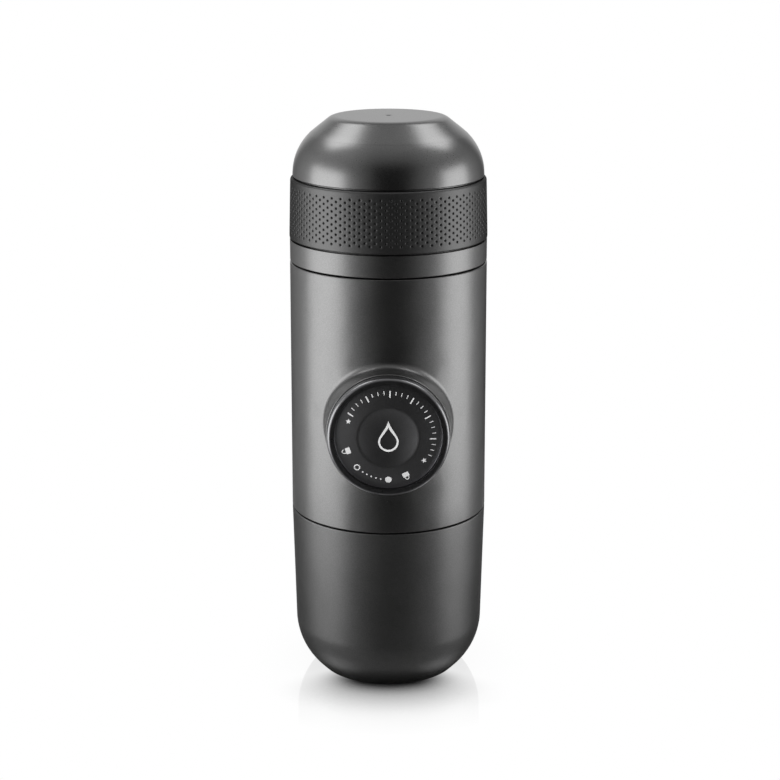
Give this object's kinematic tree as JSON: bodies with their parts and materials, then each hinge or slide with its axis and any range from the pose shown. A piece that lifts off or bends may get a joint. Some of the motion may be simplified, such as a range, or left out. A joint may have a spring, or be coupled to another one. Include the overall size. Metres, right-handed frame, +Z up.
{
  "type": "handheld manual espresso maker",
  "caption": "Round upright hand-pumped coffee press: water tank below, pump body with a round piston button on the front, grip band, and a cup upside down on top.",
  "frame": {"origin": "middle of the flat foot of the water tank, on the axis of the round body", "axes": "+Z up along the body's axis from the tank's foot to the cup's base, -Y forwards through the piston button, +X to the right of somebody who faces the button"},
  "size_m": [0.0606, 0.0699, 0.175],
  "materials": {
    "gunmetal_paint": "satin metallic paint on moulded plastic",
    "grip_plastic": "dimpled, matte metallic paint",
    "button_plastic": "polished black",
    "dial_plastic": "satin with white print",
    "frame_plastic": "as moulded",
    "pump_plastic": "as moulded",
    "silicone": "matte",
    "stainless_steel": "stamped or turned, plain"
  },
  "bodies": {
    "tank": {"water_tank": "gunmetal_paint"},
    "tank_ring": {"tank_seal": "silicone"},
    "main_body": {"body_shell": "gunmetal_paint", "tank_neck": "frame_plastic", "intake_strainer": "stainless_steel", "vent_valve": "silicone", "intake_pipe": "silicone", "pump_block": "frame_plastic", "inlet_valve": "silicone", "outlet_valve": "silicone", "delivery_pipe": "silicone", "piston_guide": "pump_plastic", "return_spring": "stainless_steel", "brew_neck": "frame_plastic", "shower_plate": "stainless_steel", "shower_screw": "stainless_steel", "chamber_seal": "silicone", "frame_screws": "stainless_steel"},
    "piston": {"plunger": "pump_plastic", "plunger_seals": "silicone"},
    "button": {"piston_button": "button_plastic", "dial_plate": "dial_plastic", "button_screw": "stainless_steel"},
    "head_ring": {"head_seal": "silicone"},
    "head": {"outlet_head": "gunmetal_paint", "grip_band": "grip_plastic", "outlet_screen": "stainless_steel", "outlet_nozzle": "stainless_steel"},
    "basket": {"filter_basket": "stainless_steel"},
    "drinking_cup": {"cup": "gunmetal_paint"}
  },
  "joints": [
    {"name": "body_lift", "type": "slide", "parent": "tank", "child": "tank_ring", "axis": [0, 0, 1], "range_m": [0, 0.06]},
    {"name": "tank_turn", "type": "hinge", "parent": "tank_ring", "child": "main_body", "pos_m": [0, 0, 0.0534], "axis": [0, 0, 1], "range_deg": [0, 450]},
    {"name": "piston_pump", "type": "slide", "parent": "main_body", "child": "piston", "axis": [0, -1, 0], "range_m": [0, 0.02], "deforming": ["return_spring"]},
    {"name": "piston_lock", "type": "hinge", "parent": "piston", "child": "button", "pos_m": [0, -0.0362, 0.0863], "axis": [0, -1, 0], "range_deg": [0, 45]},
    {"name": "head_lift", "type": "slide", "parent": "main_body", "child": "head_ring", "axis": [0, 0, 1], "range_m": [0, 0.06]},
    {"name": "head_turn", "type": "hinge", "parent": "head_ring", "child": "head", "pos_m": [0, 0, 0.1316], "axis": [0, 0, 1], "range_deg": [0, 450]},
    {"name": "basket_lift", "type": "slide", "parent": "main_body", "child": "basket", "axis": [0, 0, 1], "range_m": [0, 0.03]},
    {"name": "cup_lift", "type": "slide", "parent": "head", "child": "drinking_cup", "axis": [0, 0, 1], "range_m": [0, 0.045]}
  ],
  "couplings": [
    {"joint": "basket_lift", "follows": "head_lift", "ratio": 0.45}
  ]
}
